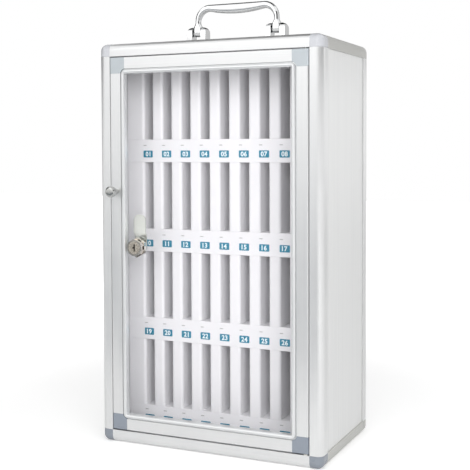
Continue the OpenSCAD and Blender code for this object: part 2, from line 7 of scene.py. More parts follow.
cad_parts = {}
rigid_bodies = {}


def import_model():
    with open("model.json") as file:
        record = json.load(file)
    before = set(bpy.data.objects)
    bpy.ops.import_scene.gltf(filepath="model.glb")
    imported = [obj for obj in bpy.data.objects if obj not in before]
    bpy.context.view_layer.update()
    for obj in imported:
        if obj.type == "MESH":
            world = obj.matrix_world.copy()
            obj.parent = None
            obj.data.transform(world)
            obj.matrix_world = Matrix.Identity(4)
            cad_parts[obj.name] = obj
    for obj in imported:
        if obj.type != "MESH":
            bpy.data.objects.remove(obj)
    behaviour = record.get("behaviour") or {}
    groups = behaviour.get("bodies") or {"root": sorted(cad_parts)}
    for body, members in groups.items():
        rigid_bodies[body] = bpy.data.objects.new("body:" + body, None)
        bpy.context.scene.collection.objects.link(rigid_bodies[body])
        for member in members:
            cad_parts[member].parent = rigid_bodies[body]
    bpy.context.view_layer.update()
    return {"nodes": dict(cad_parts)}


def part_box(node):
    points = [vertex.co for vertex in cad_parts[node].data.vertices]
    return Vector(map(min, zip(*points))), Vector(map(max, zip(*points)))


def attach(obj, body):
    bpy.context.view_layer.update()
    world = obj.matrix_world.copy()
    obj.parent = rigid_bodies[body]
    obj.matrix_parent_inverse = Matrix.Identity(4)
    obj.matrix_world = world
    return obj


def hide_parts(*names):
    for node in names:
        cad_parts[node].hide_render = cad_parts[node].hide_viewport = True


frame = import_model()
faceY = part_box("post_front_left")[0].y
print("frame loaded:", len(frame["nodes"]), "nodes")


# camera, floor and light

cameraLook = {
    "place": (0.5752, -1.1731 + faceY, 0.4228),
    "yaw": 24.35,
    "pitch": 2.53,
    "roll": -0.2,
    "lens": 73.6,
    "sensor": 36.0,
    "rise": -0.0957,
    "near": 0.05,
}


def addCamera(look):
    data = bpy.data.cameras.new("roomCamera")
    data.sensor_width = look["sensor"]
    data.lens = look["lens"]
    data.shift_y = look["rise"]
    data.clip_start = look["near"]
    camera = bpy.data.objects.new("roomCamera", data)
    bpy.context.scene.collection.objects.link(camera)
    camera.rotation_mode = "QUATERNION"
    turn = Quaternion((0, 0, 1), math.radians(look["yaw"]))
    tilt = Quaternion((1, 0, 0), math.radians(90 - look["pitch"]))
    roll = Quaternion((0, 0, 1), math.radians(look["roll"]))
    camera.rotation_quaternion = turn @ tilt @ roll
    camera.location = look["place"]
    bpy.context.scene.camera = camera


addCamera(cameraLook)

lampLook = {
    "mainSoftbox": {"place": (0.12, -2.1, 1.4), "aim": (0.0, 0.0, 0.32), "size": 1.5, "power": 15},
    "sideSoftbox": {"place": (1.5, -0.3, 1.4), "aim": (0.16, 0.0, 0.5), "size": 0.7, "power": 3},
    "fillSoftbox": {"place": (1.4, -1.75, 0.9), "aim": (0.0, 0.0, 0.3), "size": 1.2, "power": 21},
}


def addSoftbox(name, look):
    data = bpy.data.lights.new(name, "AREA")
    data.shape = "SQUARE"
    data.size = look["size"]
    data.energy = look["power"]
    lamp = bpy.data.objects.new(name, data)
    bpy.context.scene.collection.objects.link(lamp)
    lamp.location = look["place"]
    aim = Vector(look["aim"]) - Vector(look["place"])
    lamp.rotation_euler = aim.to_track_quat("-Z", "Y").to_euler()
    # reflections show the cards in place of the lamps
    lamp.visible_glossy = False


for name, look in lampLook.items():
    addSoftbox(name, look)

roomLook = {"lit": 0.6, "seen": 1.0}


def mathNode(tree, operation, first, second):
    node = tree.nodes.new("ShaderNodeMath")
    node.operation = operation
    tree.links.new(first, node.inputs[0])
    tree.links.new(second, node.inputs[1])
    return node.outputs[0]


def addRoom(look):
    # white for the camera, for mirrors and through glass, and dimmer for what the room lights
    world = bpy.data.worlds.new("paleRoom")
    bpy.context.scene.world = world
    world.use_nodes = True
    tree = world.node_tree
    tree.nodes.clear()
    rays = tree.nodes.new("ShaderNodeLightPath").outputs
    seen = mathNode(tree, "MAXIMUM", rays["Is Camera Ray"], rays["Is Glossy Ray"])
    seen = mathNode(tree, "MAXIMUM", seen, rays["Is Transmission Ray"])
    level = tree.nodes.new("ShaderNodeMapRange")
    level.inputs["To Min"].default_value = look["lit"]
    level.inputs["To Max"].default_value = look["seen"]
    paint = tree.nodes.new("ShaderNodeBackground")
    paint.inputs["Color"].default_value = (1.0, 1.0, 1.0, 1.0)
    out = tree.nodes.new("ShaderNodeOutputWorld")
    tree.links.new(seen, level.inputs["Value"])
    tree.links.new(level.outputs["Result"], paint.inputs["Strength"])
    tree.links.new(paint.outputs["Background"], out.inputs["Surface"])


addRoom(roomLook)

view = bpy.context.scene.view_settings
view.view_transform = "Standard"
print("camera and room made")

# cards that only reflections see: they put dark and light into the polished handle and thin grey
# outlines on the frame
cardLook = {
    "behind": {"turn": 148, "reach": 0.85, "wide": 2.4, "low": 0.56, "high": 1.04, "grey": 0.02},
    "behindTall": {
        "turn": 112, "reach": 0.83, "wide": 0.7, "low": 0.56, "high": 1.44, "grey": 0.02,
    },
    "left": {"turn": 210, "reach": 0.85, "wide": 0.5, "low": 0.6, "high": 1.04, "grey": 0.02},
    "behindRight": {"turn": 68, "reach": 0.85, "wide": 0.6, "low": 0.58, "high": 1.04, "grey": 0.6},
    "right": {"turn": -19, "reach": 0.85, "wide": 1.6, "low": 0.58, "high": 1.14, "grey": 0.02},
    "glow": {"turn": 238, "reach": 2.0, "wide": 2.0, "low": 0.82, "high": 2.0, "grey": 1.7},
    "room": {"turn": 130, "reach": 2.2, "wide": 4.2, "low": 0.0, "high": 2.2, "grey": 0.2},
}
cardsMiddleY = 0.016
topCardLook = {"place": (-0.1, 0.28, 1.24), "size": (1.0, 0.84), "grey": 0.02}
floorCardLook = {
    "place": (-0.9, -1.85, 0.004),
    "size": (3.2, 2.6),
    "grey": 0.34,
    "tone": (0.88, 0.94, 1.0),
}


def addCard(name, place, turn, size, grey, tone=(1.0, 1.0, 1.0)):
    startPiece()
    bpy.ops.mesh.primitive_plane_add(size=1, location=place, rotation=turn)
    card = bpy.context.object
    card.name = name
    card.scale = (size[0], size[1], 1)
    settle(card)
    for kind in ("camera", "diffuse", "transmission", "shadow"):
        setattr(card, "visible_" + kind, False)
    finish = bpy.data.materials.new(name)
    finish.use_nodes = True
    tree = finish.node_tree
    tree.nodes.clear()
    glow = tree.nodes.new("ShaderNodeEmission")
    glow.inputs["Color"].default_value = (*tone, 1.0)
    glow.inputs["Strength"].default_value = grey
    clear = tree.nodes.new("ShaderNodeBsdfTransparent")
    side = tree.nodes.new("ShaderNodeNewGeometry")
    pick = tree.nodes.new("ShaderNodeMixShader")
    out = tree.nodes.new("ShaderNodeOutputMaterial")
    # only the side that faces the object is seen in its reflections
    tree.links.new(side.outputs["Backfacing"], pick.inputs[0])
    tree.links.new(glow.outputs["Emission"], pick.inputs[1])
    tree.links.new(clear.outputs["BSDF"], pick.inputs[2])
    tree.links.new(pick.outputs["Shader"], out.inputs["Surface"])
    card.data.materials.append(finish)


def addCards():
    for name, look in cardLook.items():
        turn = math.radians(look["turn"])
        x = look["reach"] * math.cos(turn)
        y = look["reach"] * math.sin(turn) + cardsMiddleY
        z = (look["low"] + look["high"]) / 2
        upright = (math.pi / 2, 0, turn - math.pi / 2)
        size = (look["wide"], look["high"] - look["low"])
        addCard(name + "Card", (x, y, z), upright, size, look["grey"])
    look = topCardLook
    addCard("topCard", look["place"], (math.pi, 0, 0), look["size"], look["grey"])
    look = floorCardLook
    addCard("floorCard", look["place"], (0, 0, 0), look["size"], look["grey"], look["tone"])


# tools for modelling

# distances below which vertices become one, or a face is dropped
welds = {"copy": 0.000005, "turned": 0.000001, "cut": 0.000004, "sliver": 0.000002}
flatAngle = 0.4
sharpAngle = 35
shadeAngle = 32
shadeWeight = 100


def startPiece():
    # nothing else may be selected, because operators act on all that is
    if bpy.context.object and bpy.context.object.mode != "OBJECT":
        bpy.ops.object.mode_set(mode="OBJECT")
    bpy.ops.object.select_all(action="DESELECT")


def focusOn(piece):
    startPiece()
    piece.select_set(True)
    bpy.context.view_layer.objects.active = piece


def editAll(piece, kind="FACE"):
    focusOn(piece)
    bpy.ops.object.mode_set(mode="EDIT")
    bpy.ops.mesh.select_mode(type=kind)
    bpy.ops.mesh.select_all(action="SELECT")


def settle(piece):
    # the piece's place goes into its mesh, so its object sits at the origin
    focusOn(piece)
    bpy.ops.object.transform_apply(location=True, rotation=True, scale=True)


def bevelEdges(piece, width, segments):
    focusOn(piece)
    soft = piece.modifiers.new("softEdges", "BEVEL")
    soft.width = width
    soft.segments = segments
    soft.limit_method = "ANGLE"
    soft.angle_limit = math.radians(sharpAngle)
    soft.use_clamp_overlap = True
    bpy.ops.object.modifier_apply(modifier=soft.name)


def smooth(piece, angle=shadeAngle):
    focusOn(piece)
    bpy.ops.object.shade_smooth_by_angle(angle=math.radians(angle))


def evenShade(piece):
    # large flat faces stay flat, and only the narrow bevels between them turn the light
    smooth(piece)
    even = piece.modifiers.new("evenShade", "WEIGHTED_NORMAL")
    even.weight = shadeWeight
    even.keep_sharp = True
    bpy.ops.object.modifier_apply(modifier=even.name)


def dress(piece, finish, body, slotName, *nodes):
    piece.data.materials.clear()
    piece.data.materials.append(finish)
    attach(piece, body)
    if nodes:
        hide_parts(*nodes)


def mergeClose(piece):
    # vertices that a cut leaves almost on one another become one
    editAll(piece, "VERT")
    bpy.ops.mesh.remove_doubles(threshold=welds["cut"])
    bpy.ops.mesh.dissolve_degenerate(threshold=welds["sliver"])
    bpy.ops.object.mode_set(mode="OBJECT")


def camelName(node):
    words = node.split("_")
    return words[0] + "".join(word.title() for word in words[1:])


def softCopy(node, width, segments=2):
    # a copy of a solid with its loose triangles merged and its sharp edges broken
    source = frame["nodes"][node]
    piece = bpy.data.objects.new(camelName(node), source.data.copy())
    bpy.context.scene.collection.objects.link(piece)
    editAll(piece, "VERT")
    bpy.ops.mesh.remove_doubles(threshold=welds["copy"])
    bpy.ops.mesh.customdata_custom_splitnormals_clear()
    bpy.ops.mesh.dissolve_limited(angle_limit=math.radians(flatAngle), delimit={"NORMAL"})
    bpy.ops.object.mode_set(mode="OBJECT")
    if width > 0:
        bevelEdges(piece, width, segments)
        evenShade(piece)
    return piece


def turned(name, centre, rings, sides=72):
    # a turned shape along Y: each ring is (distance from the centre, radius)
    startPiece()
    first = rings[0]
    place = (centre[0], centre[1] + first[0], centre[2])
    bpy.ops.mesh.primitive_circle_add(
        vertices=sides, radius=first[1], fill_type="NGON",
        location=place, rotation=(math.pi / 2, 0, 0),
    )
    piece = bpy.context.object
    piece.name = name
    settle(piece)
    editAll(piece)
    last = first
    for ring in rings[1:]:
        step = (0, ring[0] - last[0], 0)
        bpy.ops.mesh.extrude_region_move(TRANSFORM_OT_translate={"value": step})
        share = ring[1] / last[1]
        bpy.ops.transform.resize(
            value=(share, 1, share),
            center_override=(centre[0], centre[1] + ring[0], centre[2]),
        )
        last = ring
    bpy.ops.mesh.select_all(action="SELECT")
    bpy.ops.mesh.remove_doubles(threshold=welds["turned"])
    bpy.ops.mesh.normals_make_consistent(inside=False)
    bpy.ops.object.mode_set(mode="OBJECT")
    return piece


def carve(piece, cutter):
    focusOn(piece)
    cut = piece.modifiers.new("cut", "BOOLEAN")
    cut.operation = "DIFFERENCE"
    cut.solver = "EXACT"
    cut.object = cutter
    bpy.ops.object.modifier_apply(modifier=cut.name)
    bpy.data.objects.remove(cutter)


# node groups that several finishes share

def newGroup(name, inputs, outputs):
    group = bpy.data.node_groups.new(name, "ShaderNodeTree")
    for label, kind, value in inputs:
        socket = group.interface.new_socket(label, in_out="INPUT", socket_type=kind)
        if value is not None:
            socket.default_value = value
    for label, kind in outputs:
        group.interface.new_socket(label, in_out="OUTPUT", socket_type=kind)
    start = group.nodes.new("NodeGroupInput")
    end = group.nodes.new("NodeGroupOutput")
    return group, start, end


def noiseNode(tree, scale, detail):
    node = tree.nodes.new("ShaderNodeTexNoise")
    node.inputs["Scale"].default_value = scale
    node.inputs["Detail"].default_value = detail
    return node


def spanNode(tree, value, low, high):
    # stretches what lies between low and high to the whole range from 0 to 1
    node = tree.nodes.new("ShaderNodeMapRange")
    node.inputs["From Min"].default_value = low
    node.inputs["From Max"].default_value = high
    tree.links.new(value, node.inputs["Value"])
    return node


linesLook = {
    "wideScale": 1.0, "wideDetail": 3.0, "fineScale": 4.3, "fineDetail": 2.0,
    "fineShare": 0.45, "low": 0.32, "high": 0.68, "contrast": 0.5,
}


def makeDrawnLines(look):
    # fine die lines of an extrusion, stretched by the Mapping node that feeds it
    group, start, end = newGroup(
        "drawnLines",
        [("Vector", "NodeSocketVector", None), ("Contrast", "NodeSocketFloat", look["contrast"])],
        [("Lines", "NodeSocketFloat"), ("Height", "NodeSocketFloat")],
    )
    wide = noiseNode(group, look["wideScale"], look["wideDetail"])
    fine = noiseNode(group, look["fineScale"], look["fineDetail"])
    both = group.nodes.new("ShaderNodeMix")
    both.inputs["Factor"].default_value = look["fineShare"]
    link = group.links.new
    link(start.outputs["Vector"], wide.inputs["Vector"])
    link(start.outputs["Vector"], fine.inputs["Vector"])
    link(wide.outputs["Fac"], both.inputs["A"])
    link(fine.outputs["Fac"], both.inputs["B"])
    shape = spanNode(group, both.outputs["Result"], look["low"], look["high"])
    lines = shape.outputs["Result"]
    link(lines, end.inputs["Lines"])
    height = mathNode(group, "MULTIPLY", lines, start.outputs["Contrast"])
    link(height, end.inputs["Height"])
    return group


marksLook = {"scale": 18.0, "detail": 5.0, "rough": 0.62, "low": 0.38, "high": 0.72}


def makeHandling(look):
    # faint cloudy marks that handling leaves, as a mask
    group, start, end = newGroup(
        "handling",
        [("Vector", "NodeSocketVector", None), ("Scale", "NodeSocketFloat", look["scale"])],
        [("Marks", "NodeSocketFloat")],
    )
    cloud = noiseNode(group, look["scale"], look["detail"])
    cloud.inputs["Roughness"].default_value = look["rough"]
    link = group.links.new
    link(start.outputs["Vector"], cloud.inputs["Vector"])
    link(start.outputs["Scale"], cloud.inputs["Scale"])
    shape = spanNode(group, cloud.outputs["Fac"], look["low"], look["high"])
    link(shape.outputs["Result"], end.inputs["Marks"])
    return group


grainLook = {"scale": 1400.0, "driftScale": 35.0, "driftDetail": 3.0}


def makeMouldedGrain(look):
    # the fine spark grain of moulded plastic
    group, start, end = newGroup(
        "mouldedGrain",
        [("Vector", "NodeSocketVector", None), ("Scale", "NodeSocketFloat", look["scale"])],
        [("Height", "NodeSocketFloat"), ("Mask", "NodeSocketFloat")],
    )
    cells = group.nodes.new("ShaderNodeTexVoronoi")
    cells.feature = "SMOOTH_F1"
    drift = noiseNode(group, look["driftScale"], look["driftDetail"])
    link = group.links.new
    link(start.outputs["Vector"], cells.inputs["Vector"])
    link(start.outputs["Scale"], cells.inputs["Scale"])
    link(start.outputs["Vector"], drift.inputs["Vector"])
    link(cells.outputs["Distance"], end.inputs["Height"])
    link(drift.outputs["Fac"], end.inputs["Mask"])
    return group


drawnLines = makeDrawnLines(linesLook)
handling = makeHandling(marksLook)
mouldedGrain = makeMouldedGrain(grainLook)
print("shared shader groups made")


# finishes

def newFinish(name):
    finish = bpy.data.materials.new(name)
    finish.use_nodes = True
    tree = finish.node_tree
    tree.nodes.clear()
    shader = tree.nodes.new("ShaderNodeBsdfPrincipled")
    out = tree.nodes.new("ShaderNodeOutputMaterial")
    tree.links.new(shader.outputs["BSDF"], out.inputs["Surface"])
    coords = tree.nodes.new("ShaderNodeTexCoord")
    return finish, tree, shader, coords


def place(tree, group):
    box = tree.nodes.new("ShaderNodeGroup")
    box.node_tree = group
    return box


def ramp(tree, mask, low, high, shader, socket):
    # a mask turned into a range of values for one socket of the shader
    span = tree.nodes.new("ShaderNodeMapRange")
    span.inputs["To Min"].default_value = low
    span.inputs["To Max"].default_value = high
    tree.links.new(mask, span.inputs["Value"])
    tree.links.new(span.outputs["Result"], shader.inputs[socket])


def tint(tree, mask, low, high, shader):
    mix = tree.nodes.new("ShaderNodeMix")
    mix.data_type = "RGBA"
    mix.inputs["A"].default_value = (*low, 1.0)
    mix.inputs["B"].default_value = (*high, 1.0)
    tree.links.new(mask, mix.inputs["Factor"])
    tree.links.new(mix.outputs["Result"], shader.inputs["Base Color"])


reliefHeights = {"lines": 0.00004, "grain": 0.00003, "sheet": 0.00002}


def bump(tree, height, strength, relief, shader):
    raised = tree.nodes.new("ShaderNodeBump")
    raised.inputs["Strength"].default_value = strength
    raised.inputs["Distance"].default_value = reliefHeights[relief]
    tree.links.new(height, raised.inputs["Height"])
    tree.links.new(raised.outputs["Normal"], shader.inputs["Normal"])


anodisedLook = {
    "light": (0.88, 0.885, 0.88),
    "dark": (0.79, 0.795, 0.80),
    "metallic": 0.8,
    "smooth": 0.3,
    "rough": 0.44,
    "across": 900.0,
    "along": 5.0,
    "marks": 9.0,
    "marksShare": 0.4,
    "depth": 0.12,
}


def makeAnodised(name, run, look):
    # satin anodised aluminium whose lines run along X, Y or Z
    finish, tree, shader, coords = newFinish(name)
    stretch = tree.nodes.new("ShaderNodeMapping")
    scales = [look["across"]] * 3
    scales["XYZ".index(run)] = look["along"]
    stretch.inputs["Scale"].default_value = scales
    lines = place(tree, drawnLines)
    marks = place(tree, handling)
    marks.inputs["Scale"].default_value = look["marks"]
    both = tree.nodes.new("ShaderNodeMix")
    both.inputs["Factor"].default_value = look["marksShare"]
    tree.links.new(coords.outputs["Object"], stretch.inputs["Vector"])
    tree.links.new(stretch.outputs["Vector"], lines.inputs["Vector"])
    tree.links.new(coords.outputs["Object"], marks.inputs["Vector"])
    tree.links.new(lines.outputs["Lines"], both.inputs["A"])
    tree.links.new(marks.outputs["Marks"], both.inputs["B"])
    tint(tree, both.outputs["Result"], look["dark"], look["light"], shader)
    ramp(tree, both.outputs["Result"], look["smooth"], look["rough"], shader, "Roughness")
    bump(tree, lines.outputs["Height"], look["depth"], "lines", shader)
    shader.inputs["Metallic"].default_value = look["metallic"]
    return finish


sideRailLook = {**anodisedLook, "light": (0.66, 0.66, 0.635), "dark": (0.58, 0.58, 0.555)}
anodisedZ = makeAnodised("anodisedUpright", "Z", anodisedLook)
anodisedX = makeAnodised("anodisedAcross", "X", anodisedLook)
anodisedY = makeAnodised("anodisedDeep", "Y", sideRailLook)

coatRoughness = 0.12


def makePlastic(name, look):
    finish, tree, shader, coords = newFinish(name)
    grain = place(tree, mouldedGrain)
    grain.inputs["Scale"].default_value = look["grain"]
    marks = place(tree, handling)
    marks.inputs["Scale"].default_value = look["marks"]
    tree.links.new(coords.outputs["Object"], grain.inputs["Vector"])
    tree.links.new(coords.outputs["Object"], marks.inputs["Vector"])
    tint(tree, grain.outputs["Mask"], look["dark"], look["light"], shader)
    ramp(tree, marks.outputs["Marks"], look["smooth"], look["rough"], shader, "Roughness")
    bump(tree, grain.outputs["Height"], look["depth"], "grain", shader)
    shader.inputs["Coat Weight"].default_value = look["coat"]
    shader.inputs["Coat Roughness"].default_value = coatRoughness
    return finish


# painted light and shade: the front corner caps are one grey-blue plastic, with the top copy
# painted lighter as if lit from above and the bottom copy painted darker as if in shade
cornerTopPlastic = makePlastic("cornerTopPlastic", {
    "light": (0.54, 0.55, 0.58), "dark": (0.49, 0.50, 0.53),
    "smooth": 0.2, "rough": 0.32, "grain": 1500.0, "marks": 40.0, "depth": 0.15, "coat": 0.4,
})
cornerLowPlastic = makePlastic("cornerLowPlastic", {
    "light": (0.26, 0.285, 0.325), "dark": (0.225, 0.25, 0.29),
    "smooth": 0.24, "rough": 0.38, "grain": 1500.0, "marks": 40.0, "depth": 0.15, "coat": 0.3,
})
rearCornerPlastic = makePlastic("rearCornerPlastic", {
    "light": (0.50, 0.50, 0.48), "dark": (0.45, 0.45, 0.435),
    "smooth": 0.3, "rough": 0.44, "grain": 1500.0, "marks": 40.0, "depth": 0.15, "coat": 0.1,
})
# painted light and shade: the door corner squares are one plastic, with the top copy painted
# lighter as if lit from above and the bottom copy painted darker as if in shade
doorCornerTopPlastic = makePlastic("doorCornerTopPlastic", {
    "light": (0.455, 0.495, 0.52), "dark": (0.42, 0.455, 0.48),
    "smooth": 0.38, "rough": 0.5, "grain": 1500.0, "marks": 40.0, "depth": 0.3, "coat": 0.05,
})
doorCornerLowPlastic = makePlastic("doorCornerLowPlastic", {
    "light": (0.27, 0.30, 0.35), "dark": (0.24, 0.27, 0.315),
    "smooth": 0.38, "rough": 0.5, "grain": 1500.0, "marks": 40.0, "depth": 0.3, "coat": 0.05,
})
rackPlastic = makePlastic("rackPlastic", {
    "light": (0.89, 0.885, 0.90), "dark": (0.86, 0.855, 0.875),
    "smooth": 0.34, "rough": 0.46, "grain": 1100.0, "marks": 14.0, "depth": 0.12, "coat": 0.08,
})
washerPlastic = makePlastic("washerPlastic", {
    "light": (0.86, 0.84, 0.78), "dark": (0.80, 0.78, 0.72),
    "smooth": 0.4, "rough": 0.5, "grain": 2200.0, "marks": 60.0, "depth": 0.2, "coat": 0.0,
})
labelPlastic = makePlastic("labelPlastic", {
    "light": (0.003, 0.235, 0.36), "dark": (0.002, 0.19, 0.31),
    "smooth": 0.4, "rough": 0.5, "grain": 2600.0, "marks": 80.0, "depth": 0.1, "coat": 0.0,
})
numberInk = makePlastic("numberInk", {
    "light": (0.90, 0.97, 0.98), "dark": (0.84, 0.93, 0.95),
    "smooth": 0.35, "rough": 0.45, "grain": 2600.0, "marks": 80.0, "depth": 0.05, "coat": 0.1,
})
tickInk = makePlastic("tickInk", {
    "light": (0.50, 0.50, 0.50), "dark": (0.42, 0.42, 0.42),
    "smooth": 0.4, "rough": 0.5, "grain": 2600.0, "marks": 80.0, "depth": 0.05, "coat": 0.0,
})
# painted shade: a near-black finish for recesses where shade falls
recessShade = makePlastic("recessShade", {
    "light": (0.030, 0.022, 0.016), "dark": (0.018, 0.013, 0.010),
    "smooth": 0.6, "rough": 0.8, "grain": 1500.0, "marks": 90.0, "depth": 0.1, "coat": 0.0,
})

panelLook = {
    "light": (0.80, 0.805, 0.80),
    "dark": (0.73, 0.735, 0.735),
    "smooth": 0.32,
    "rough": 0.46,
    "stretch": (170.0, 170.0, 2.2),
    "grain": 1800.0,
    "depth": 0.1,
    "metallic": 0.25,
}


def makePanelSheet(look):
    # coated composite board with a faint upright drawn grain
    finish, tree, shader, coords = newFinish("panelSheet")
    stretch = tree.nodes.new("ShaderNodeMapping")
    stretch.inputs["Scale"].default_value = look["stretch"]
    lines = place(tree, drawnLines)
    grain = place(tree, mouldedGrain)
    grain.inputs["Scale"].default_value = look["grain"]
    tree.links.new(coords.outputs["Object"], stretch.inputs["Vector"])
    tree.links.new(stretch.outputs["Vector"], lines.inputs["Vector"])
    tree.links.new(coords.outputs["Object"], grain.inputs["Vector"])
    tint(tree, lines.outputs["Lines"], look["dark"], look["light"], shader)
    ramp(tree, lines.outputs["Lines"], look["smooth"], look["rough"], shader, "Roughness")
    bump(tree, grain.outputs["Height"], look["depth"], "sheet", shader)
    shader.inputs["Metallic"].default_value = look["metallic"]
    return finish


panelSheet = makePanelSheet(panelLook)

platedDetail = 3.0


def makePlated(name, look):
    # plated or brushed metal, with faint marks in its gloss
    finish, tree, shader, coords = newFinish(name)
    marks = place(tree, handling)
    marks.inputs["Scale"].default_value = look["marks"]
    grain = noiseNode(tree, look["grain"], platedDetail)
    tree.links.new(coords.outputs["Object"], marks.inputs["Vector"])
    tree.links.new(coords.outputs["Object"], grain.inputs["Vector"])
    tint(tree, marks.outputs["Marks"], look["dark"], look["light"], shader)
    ramp(tree, marks.outputs["Marks"], look["smooth"], look["rough"], shader, "Roughness")
    bump(tree, grain.outputs["Fac"], look["depth"], "grain", shader)
    shader.inputs["Metallic"].default_value = look.get("metallic", 1.0)
    return finish


chromePlate = makePlated("chromePlate", {
    "light": (0.90, 0.905, 0.91), "dark": (0.84, 0.845, 0.85),
    "smooth": 0.04, "rough": 0.1, "grain": 220.0, "marks": 45.0, "depth": 0.03,
})
nickelPlate = makePlated("nickelPlate", {
    "light": (0.84, 0.79, 0.72), "dark": (0.72, 0.67, 0.60),
    "smooth": 0.08, "rough": 0.18, "grain": 700.0, "marks": 120.0, "depth": 0.12,
})
plugPlate = makePlated("plugPlate", {
    "light": (0.78, 0.71, 0.61), "dark": (0.68, 0.61, 0.52),
    "smooth": 0.22, "rough": 0.34, "grain": 900.0, "marks": 140.0, "depth": 0.2,
})
zincPlate = makePlated("zincPlate", {
    "light": (0.76, 0.77, 0.75), "dark": (0.66, 0.675, 0.655),
    "smooth": 0.24, "rough": 0.4, "grain": 600.0, "marks": 90.0, "depth": 0.25,
})
beadSatin = makePlated("beadSatin", {
    "light": (0.80, 0.81, 0.815), "dark": (0.77, 0.78, 0.785), "metallic": 0.6,
    "smooth": 0.3, "rough": 0.36, "grain": 400.0, "marks": 12.0, "depth": 0.02,
})
camPlate = makePlated("camPlate", {
    "light": (0.60, 0.615, 0.58), "dark": (0.52, 0.535, 0.50),
    "smooth": 0.3, "rough": 0.45, "grain": 600.0, "marks": 90.0, "depth": 0.25,
})
satinKnob = makePlated("satinKnob", {
    "light": (0.62, 0.625, 0.61), "dark": (0.52, 0.525, 0.51),
    "smooth": 0.14, "rough": 0.24, "grain": 500.0, "marks": 110.0, "depth": 0.15,
})

paneLook = {"tint": (0.98, 0.978, 0.983), "ior": 1.3, "smooth": 0.0, "rough": 0.035, "marks": 7.0}


def makeAcrylic(look):
    # clear acrylic that lets light into the cabinet
    finish, tree, shader, coords = newFinish("clearAcrylic")
    marks = place(tree, handling)
    marks.inputs["Scale"].default_value = look["marks"]
    tree.links.new(coords.outputs["Object"], marks.inputs["Vector"])
    ramp(tree, marks.outputs["Marks"], look["smooth"], look["rough"], shader, "Roughness")
    shader.inputs["Base Color"].default_value = (*look["tint"], 1.0)
    shader.inputs["IOR"].default_value = look["ior"]
    shader.inputs["Transmission Weight"].default_value = 1.0
    clear = tree.nodes.new("ShaderNodeBsdfTransparent")
    clear.inputs["Color"].default_value = (*look["tint"], 1.0)
    mix = tree.nodes.new("ShaderNodeMixShader")
    out = next(n for n in tree.nodes if n.type == "OUTPUT_MATERIAL")
    rays = tree.nodes.new("ShaderNodeLightPath").outputs
    lighting = mathNode(tree, "MAXIMUM", rays["Is Shadow Ray"], rays["Is Diffuse Ray"])
    tree.links.new(lighting, mix.inputs["Fac"])
    tree.links.new(shader.outputs["BSDF"], mix.inputs[1])
    tree.links.new(clear.outputs["BSDF"], mix.inputs[2])
    tree.links.new(mix.outputs["Shader"], out.inputs["Surface"])
    return finish


clearAcrylic = makeAcrylic(paneLook)

floorLook = {
    "size": 12.0,
    "paint": (0.9, 0.9, 0.9),
    "smooth": 0.75,
    "rough": 0.85,
    "speckScale": 3.0,
    "speckDetail": 2.0,
    "near": 0.3,
    "far": 1.0,
    "inner": 0.35,
    "outer": 1.5,
}


def addFloor(look):
    # white paint whose lift grows away from the object, so it meets the white room without a line
    startPiece()
    bpy.ops.mesh.primitive_plane_add(size=look["size"], location=(0, 0, 0))
    floor = bpy.context.object
    floor.name = "studioFloor"
    settle(floor)
    finish, tree, shader, coords = newFinish("floorPaint")
    speck = noiseNode(tree, look["speckScale"], look["speckDetail"])
    tree.links.new(coords.outputs["Object"], speck.inputs["Vector"])
    ramp(tree, speck.outputs["Fac"], look["smooth"], look["rough"], shader, "Roughness")
    shader.inputs["Base Color"].default_value = (*look["paint"], 1.0)
    reach = tree.nodes.new("ShaderNodeVectorMath")
    reach.operation = "LENGTH"
    tree.links.new(coords.outputs["Object"], reach.inputs[0])
    level = spanNode(tree, reach.outputs["Value"], look["inner"], look["outer"])
    level.interpolation_type = "SMOOTHSTEP"
    level.inputs["To Min"].default_value = look["near"]
    level.inputs["To Max"].default_value = look["far"]
    rays = tree.nodes.new("ShaderNodeLightPath").outputs
    seen = mathNode(tree, "MAXIMUM", rays["Is Camera Ray"], rays["Is Transmission Ray"])
    lift = mathNode(tree, "MULTIPLY", seen, level.outputs["Result"])
    tree.links.new(lift, shader.inputs["Emission Strength"])
    shader.inputs["Emission Color"].default_value = (1.0, 1.0, 1.0, 1.0)
    floor.data.materials.append(finish)


addFloor(floorLook)
addCards()
print("finishes, floor and cards made")


# cabinet frame: posts, rails and corners with their sharp edges broken

frameEdges = {"post": 0.00035, "rail": 0.00035, "corner": 0.0005, "freeEdge": 0.00004}
# painted light and shade: top corners take the lighter painted copy of the plastic, bottom corners
# the darker one
cornerFinishes = {"top": cornerTopPlastic, "bottom": cornerLowPlastic}

for end in ("front", "rear"):
    for side in ("left", "right"):
        node = "post_" + end + "_" + side
        edge = "freeEdge" if node == "post_front_left" else "post"
        dress(softCopy(node, frameEdges[edge]), anodisedZ, "cabinet", "frame", node)
    for level in ("top", "bottom"):
        node = "rail_" + end + "_" + level
        dress(softCopy(node, frameEdges["rail"]), anodisedX, "cabinet", "frame", node)
        finish = cornerFinishes[level] if end == "front" else rearCornerPlastic
        for side in ("left", "right"):
            node = "corner_" + end + "_" + level + "_" + side
            dress(softCopy(node, frameEdges["corner"]), finish, "cabinet", "corners", node)
for side in ("left", "right"):
    for level in ("top", "bottom"):
        node = "rail_" + side + "_" + level
        dress(softCopy(node, frameEdges["rail"]), anodisedY, "cabinet", "frame", node)
print("cabinet frame made")


# panels

panelEdge = 0.0003
panelNodes = ("side_panel_left", "side_panel_right", "top_panel", "bottom_panel", "back_panel")

for node in panelNodes:
    dress(softCopy(node, panelEdge), panelSheet, "cabinet", "panels", node)
print("panels made")


# rack: shelves, bars, head, and the numbered labels

rackEdges = {"shelf": 0.0006, "bars": 0.0004}
tiers = 4

for tier in range(1, tiers + 1):
    for kind in ("shelf", "bars"):
        node = "rack_" + kind + "_" + str(tier)
        dress(softCopy(node, rackEdges[kind]), rackPlastic, "cabinet", "rack", node)
dress(softCopy("rack_head", rackEdges["shelf"]), rackPlastic, "cabinet", "rack", "rack_head")
print("rack made")

